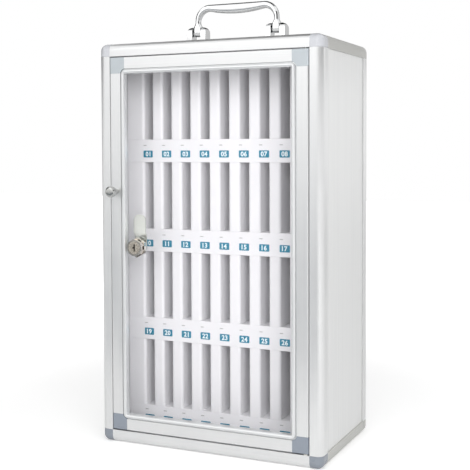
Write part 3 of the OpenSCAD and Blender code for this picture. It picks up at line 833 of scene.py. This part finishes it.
labelLook = {
    "corner": 0.0011,
    "cornerSteps": 3,
    "digits": 0.0092,
    "digitSteps": 3,
    "spacing": 1.06,
    "ink": 0.00012,
    "lift": 0.0001,
    "bold": 0.00026,
    "tick": (0.0050, 0.00016, 0.0012),
    "tickEdge": 0.00005,
    "tickSunk": 0.00008,
    "tickRise": 0.0126,
}


def middleOf(piece):
    # the middle of a piece's reach in x and in z
    xs = [v.co.x for v in piece.data.vertices]
    zs = [v.co.z for v in piece.data.vertices]
    return (min(xs) + max(xs)) / 2, (min(zs) + max(zs)) / 2


def looseLabels():
    # the plates of the CAD's labels, each with its middle, from the top left to the bottom right
    whole = softCopy("number_labels", 0)
    before = set(bpy.data.objects)
    focusOn(whole)
    bpy.ops.mesh.separate(type="LOOSE")
    plates = [whole] + [piece for piece in bpy.data.objects if piece not in before]
    found = [(plate, *middleOf(plate)) for plate in plates]
    return sorted(found, key=lambda item: (-round(item[2], 3), item[1]))


def joinAll(pieces, name):
    startPiece()
    for piece in pieces:
        piece.select_set(True)
    bpy.context.view_layer.objects.active = pieces[0]
    bpy.ops.object.join()
    whole = bpy.context.object
    whole.name = name
    settle(whole)
    return whole


def roundCorners(plate, thick):
    # the four short edges that run through the plate
    editAll(plate, "EDGE")
    bpy.ops.mesh.select_all(action="DESELECT")
    bpy.ops.object.mode_set(mode="OBJECT")
    for edge in plate.data.edges:
        a, b = [plate.data.vertices[i].co for i in edge.vertices]
        edge.select = abs(a.y - b.y) > thick / 2
    bpy.ops.object.mode_set(mode="EDIT")
    bpy.ops.mesh.bevel(
        offset=labelLook["corner"], segments=labelLook["cornerSteps"], affect="EDGES",
    )
    bpy.ops.object.mode_set(mode="OBJECT")


def numberText(word, x, z, y):
    startPiece()
    bpy.ops.object.text_add(location=(x, y, z), rotation=(math.pi / 2, 0, 0))
    text = bpy.context.object
    text.data.body = word
    text.data.size = labelLook["digits"]
    text.data.align_x = "CENTER"
    text.data.align_y = "CENTER"
    text.data.extrude = labelLook["ink"]
    text.data.offset = labelLook["bold"]
    text.data.resolution_u = labelLook["digitSteps"]
    text.data.space_character = labelLook["spacing"]
    bpy.ops.object.convert(target="MESH")
    piece = bpy.context.object
    settle(piece)
    # letters sit a little high of their line, so the middle is set by the shape itself
    middleX, middleZ = middleOf(piece)
    shift = Vector((x - middleX, 0, z - middleZ))
    for vertex in piece.data.vertices:
        vertex.co += shift
    return piece


def tickDash(x, z, y):
    startPiece()
    bpy.ops.mesh.primitive_cube_add(size=1, location=(x, y, z))
    dash = bpy.context.object
    dash.scale = labelLook["tick"]
    settle(dash)
    bevelEdges(dash, labelLook["tickEdge"], 1)
    return dash


labelLow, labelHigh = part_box("number_labels")
labelThick = labelHigh.y - labelLow.y
plates = []
numbers = []
ticks = []
for index, (plate, x, z) in enumerate(looseLabels()):
    roundCorners(plate, labelThick)
    plates.append(plate)
    numbers.append(numberText("%02d" % (index + 1), x, z, labelLow.y - labelLook["lift"]))
    tickX = x + (labelLook["tick"][0] - plate.dimensions.x) / 2
    tickY = labelHigh.y - labelLook["tickSunk"]
    ticks.append(tickDash(tickX, z + labelLook["tickRise"], tickY))
labelPlates = joinAll(plates, "labelPlates")
smooth(labelPlates)
dress(labelPlates, labelPlastic, "cabinet", "labels", "number_labels")
labelNumbers = joinAll(numbers, "labelNumbers")
dress(labelNumbers, numberInk, "cabinet", "labels")
labelTicks = joinAll(ticks, "labelTicks")
dress(labelTicks, tickInk, "cabinet", "rack")
print("labels made:", len(plates))


# door: stiles, rails, corners, pane and bead

doorEdges = {"stile": 0.0003, "corner": 0.0004, "bead": 0.0, "pane": 0.0, "fastener": 0.0002}
# painted light and shade: top door corners take the lighter painted copy, bottom door corners the
# darker one
doorCornerFinishes = {"top": doorCornerTopPlastic, "bottom": doorCornerLowPlastic}
beadShade = 40
freeSideLook = {"lean": 0.00044, "reach": 0.0021}


def leanFreeSide(piece, look):
    # the front edge of the free side closes up to the post, and the rear edge keeps its room
    corners = piece.data.vertices
    sideX = min(corner.co.x for corner in corners) + look["reach"]
    frontY = min(corner.co.y for corner in corners) + look["reach"]
    editAll(piece, "VERT")
    bpy.ops.mesh.select_all(action="DESELECT")
    bpy.ops.object.mode_set(mode="OBJECT")
    for corner in corners:
        corner.select = corner.co.x < sideX and corner.co.y < frontY
    bpy.ops.object.mode_set(mode="EDIT")
    bpy.ops.transform.translate(value=(-look["lean"], 0, 0))
    bpy.ops.object.mode_set(mode="OBJECT")


for side in ("left", "right"):
    node = "door_stile_" + side
    edge = frameEdges["freeEdge"] if side == "left" else doorEdges["stile"]
    piece = softCopy(node, edge)
    if side == "left":
        leanFreeSide(piece, freeSideLook)
    dress(piece, anodisedZ, "door", "frame", node)
for level in ("top", "bottom"):
    node = "door_rail_" + level
    dress(softCopy(node, doorEdges["stile"]), anodisedX, "door", "frame", node)
    for side in ("left", "right"):
        node = "door_corner_" + level + "_" + side
        piece = softCopy(node, doorEdges["corner"])
        if side == "left":
            leanFreeSide(piece, freeSideLook)
        dress(piece, doorCornerFinishes[level], "door", "corners", node)
dress(softCopy("door_pane", doorEdges["pane"]), clearAcrylic, "door", "pane", "door_pane")
piece = softCopy("pane_bead", doorEdges["bead"])
smooth(piece, beadShade)
dress(piece, beadSatin, "door", "bead", "pane_bead")
for node, finish, slotName in (
    ("pivot_pins", zincPlate, "steel"),
    ("pivot_washer", washerPlastic, "washer"),
):
    dress(softCopy(node, doorEdges["fastener"]), finish, "cabinet", slotName, node)
print("door made")


# knob and its screw

knobLook = {
    "shade": 50,
    "rings": [
        (0.0, 0.0030), (-0.0020, 0.0033), (-0.0050, 0.0044), (-0.0090, 0.0059),
        (-0.0125, 0.0071), (-0.0155, 0.0078), (-0.0175, 0.0080), (-0.0192, 0.0078),
        (-0.0205, 0.0071), (-0.0213, 0.0061), (-0.0217, 0.0049), (-0.0219, 0.0036),
        (-0.0220, 0.0022), (-0.0220, 0.0008),
    ],
}
knobLow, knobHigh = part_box("door_knob")
knobCentre = ((knobLow.x + knobHigh.x) / 2, faceY, (knobLow.z + knobHigh.z) / 2)
knob = turned("pullKnob", knobCentre, knobLook["rings"])
smooth(knob, knobLook["shade"])
dress(knob, satinKnob, "door", "knob", "door_knob")
piece = softCopy("knob_screw", doorEdges["fastener"])
dress(piece, zincPlate, "door", "steel", "knob_screw")
print("knob made")


# lock: body, plug, nut and cam

def finishFaces(piece, finish, rule):
    # a second finish on the faces that the rule picks
    piece.data.materials.append(finish)
    for face in piece.data.polygons:
        if rule(face):
            face.material_index = len(piece.data.materials) - 1


# the body's finest edges leave a bevel no room, so it keeps them as they are
lockEdges = {"body": 0.0, "plug": 0.0004, "nut": 0.0005, "cam": 0.0005, "screw": 0.0002}
lockPieces = (
    ("lock_body", nickelPlate, "door", "nickel", "body"),
    ("lock_plug", plugPlate, "lock", "nickel", "plug"),
    ("lock_nut", zincPlate, "door", "steel", "nut"),
    ("lock_cam", camPlate, "lock", "steel", "cam"),
    ("cam_screw", zincPlate, "lock", "steel", "screw"),
)
for node, finish, body, slotName, edge in lockPieces:
    piece = softCopy(node, lockEdges[edge])
    if lockEdges[edge] == 0:
        smooth(piece)
    dress(piece, finish, body, slotName, node)

recessLook = {
    "notches": 6,
    "notchFrom": 0.0095,
    "notchHalf": 0.0026,
    "notchFront": 0.0032,
    "notchBack": 0.0066,
    "keyFrom": 0.0006,
    "keyReach": 0.0052,
    "keyFacing": 0.5,
}
lockLow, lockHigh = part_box("lock_body")
lockCentre = ((lockLow.x + lockHigh.x) / 2, lockLow.y, (lockLow.z + lockHigh.z) / 2)


def fromLock(face):
    # how far a face lies from the lock's axis, and how deep behind the lock's front
    centre = face.center
    away = Vector((centre.x - lockCentre[0], centre.z - lockCentre[2]))
    return away, centre.y - lockCentre[1]


def inNotch(face):
    # the floors and sides of the notches around the lock's front
    away, depth = fromLock(face)
    if not recessLook["notchFront"] < depth < recessLook["notchBack"]:
        return False
    for step in range(recessLook["notches"]):
        turn = math.radians(360 / recessLook["notches"] * step)
        out = away.x * math.cos(turn) + away.y * math.sin(turn)
        side = -away.x * math.sin(turn) + away.y * math.cos(turn)
        if out > recessLook["notchFrom"] and abs(side) < recessLook["notchHalf"]:
            return True
    return False


def inKeyway(face):
    # the walls of the keyway, which face sideways
    away, depth = fromLock(face)
    near = away.length < recessLook["keyReach"] and depth > recessLook["keyFrom"]
    return near and abs(face.normal.y) < recessLook["keyFacing"]


# painted shade: the notch floors and sides and the keyway walls get the near-black finish for the
# shade inside these recesses
finishFaces(bpy.data.objects["lockBody"], recessShade, inNotch)
finishFaces(bpy.data.objects["lockPlug"], recessShade, inKeyway)
print("lock made")


# handle: bail, brackets, pins and screws

bailLook = {
    "halfSpan": 0.0624,
    "rise": 0.040,
    "leg": 0.006,
    "depth": 0.011,
    "thick": 0.0097,
    "belly": 0.0048,
    "outer": 0.022,
    "inner": 0.016,
    "flareFrom": 0.015,
    "flareTo": 0.005,
    "knuckle": 0.0065,
    "round": 0.006,
    "square": 2.7,
    "footSquare": 5.0,
    "sides": 36,
    "hole": 0.0026,
    "holeSides": 40,
    "holeLength": 0.16,
    "gripSteps": 12,
    "bendSteps": 14,
    "flareSteps": 11,
    "flareStart": 0.0012,
    "footTurns": (0, 15, 30, 45, 60, 72, 82, 87),
    "shade": 40,
}
# a new ring starts with this radius or a step beyond the last, before its corners are placed
startRing = {"radius": 0.005, "step": 0.001}


def halfBail(look):
    # stations from the middle of the grip to the foot: outer point, inner point, depth, squareness
    span = look["halfSpan"]
    out = span + look["leg"] / 2
    inside = span - look["leg"] / 2
    top = look["rise"]
    under = top - look["thick"]
    chord = inside - look["inner"]
    sag = (chord ** 2 + look["belly"] ** 2) / (2 * look["belly"])
    rows = []
    for step in range(look["gripSteps"] + 1):
        x = chord * step / look["gripSteps"]
        low = under - look["belly"] + sag - math.sqrt(sag ** 2 - x ** 2)
        rows.append(((x, top), (x, low), look["depth"], look["square"]))
    for step in range(1, look["bendSteps"] + 1):
        turn = math.radians(90 - 90 * step / look["bendSteps"])
        across = 1 - math.cos(turn)
        down = 1 - math.sin(turn)
        far = (out - look["outer"] * across, top - look["outer"] * down)
        near = (inside - look["inner"] * across, under - look["inner"] * down)
        rows.append((far, near, look["depth"], look["square"]))
    start = look["flareFrom"] - look["flareStart"]
    for step in range(look["flareSteps"] + 1):
        z = start - (start - look["flareTo"]) * step / look["flareSteps"]
        share = (look["flareFrom"] - z) / (look["flareFrom"] - look["flareTo"])
        ease = share * share * (3 - 2 * share)
        half = look["leg"] / 2 + (look["knuckle"] - look["leg"] / 2) * ease
        square = look["square"] + (look["footSquare"] - look["square"]) * ease
        rows.append(((span + half, z), (span - half, z), look["depth"], square))
    half = look["knuckle"]
    for turn in look["footTurns"]:
        z = -look["round"] * math.sin(math.radians(turn))
        deep = 2 * look["round"] * math.cos(math.radians(turn))
        rows.append(((span + half, z), (span - half, z), deep, look["footSquare"]))
    return rows


def ringPoints(row, side, centre, sides):
    # the section at one station: a squarish oval between the outer and the inner point
    far, near, deep, square = row
    middle = Vector(((far[0] + near[0]) / 2, (far[1] + near[1]) / 2))
    half = (Vector(far) - Vector(near)) / 2
    points = []
    for step in range(sides):
        turn = 2 * math.pi * step / sides
        across = math.copysign(abs(math.cos(turn)) ** (2 / square), math.cos(turn))
        along = math.copysign(abs(math.sin(turn)) ** (2 / square), math.sin(turn))
        flat = middle + half * across
        points.append(Vector((
            centre.x + side * flat.x,
            centre.y + deep / 2 * along,
            centre.z + flat.y,
        )))
    return points


def sweptBail(look, centre):
    half = halfBail(look)
    stations = [(row, 1) for row in reversed(half)] + [(row, -1) for row in half[1:]]
    startPiece()
    bpy.ops.mesh.primitive_circle_add(
        vertices=look["sides"], radius=startRing["radius"], fill_type="NGON", location=centre,
    )
    bail = bpy.context.object
    bail.name = "handleBail"
    settle(bail)
    for index, (row, side) in enumerate(stations):
        bpy.ops.object.mode_set(mode="EDIT")
        if index == 0:
            bpy.ops.mesh.select_all(action="SELECT")
        else:
            step = (0, startRing["step"], 0)
            bpy.ops.mesh.extrude_region_move(TRANSFORM_OT_translate={"value": step})
        bpy.ops.object.mode_set(mode="OBJECT")
        ring = [v for v in bail.data.vertices if v.select]
        for vertex, point in zip(ring, ringPoints(row, side, centre, look["sides"])):
            vertex.co = point
    editAll(bail)
    bpy.ops.mesh.normals_make_consistent(inside=False)
    bpy.ops.object.mode_set(mode="OBJECT")
    return bail


def pinHole(bail, look, centre):
    # the pins go through both feet
    startPiece()
    bpy.ops.mesh.primitive_cylinder_add(
        vertices=look["holeSides"], radius=look["hole"], depth=look["holeLength"],
        location=centre, rotation=(0, math.pi / 2, 0),
    )
    cutter = bpy.context.object
    settle(cutter)
    carve(bail, cutter)


bailLow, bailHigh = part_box("handle_bail")
bailCentre = Vector((0, (bailLow.y + bailHigh.y) / 2, bailHigh.z - bailLook["rise"]))
bail = sweptBail(bailLook, bailCentre)
pinHole(bail, bailLook, bailCentre)
mergeClose(bail)
smooth(bail, bailLook["shade"])
dress(bail, chromePlate, "bail", "chrome", "handle_bail")

handleEdges = {"brackets": 0.0012, "pins": 0.0002, "bolts": 0.0002}
handlePieces = (
    ("handle_brackets", chromePlate, "chrome", "brackets", 4),
    ("handle_pins", zincPlate, "steel", "pins", 2),
    ("handle_bolts", zincPlate, "steel", "bolts", 2),
)
for node, finish, slotName, edge, segments in handlePieces:
    piece = softCopy(node, handleEdges[edge], segments)
    dress(piece, finish, "cabinet", slotName, node)
print("handle made")


# leave nothing selected

startPiece()
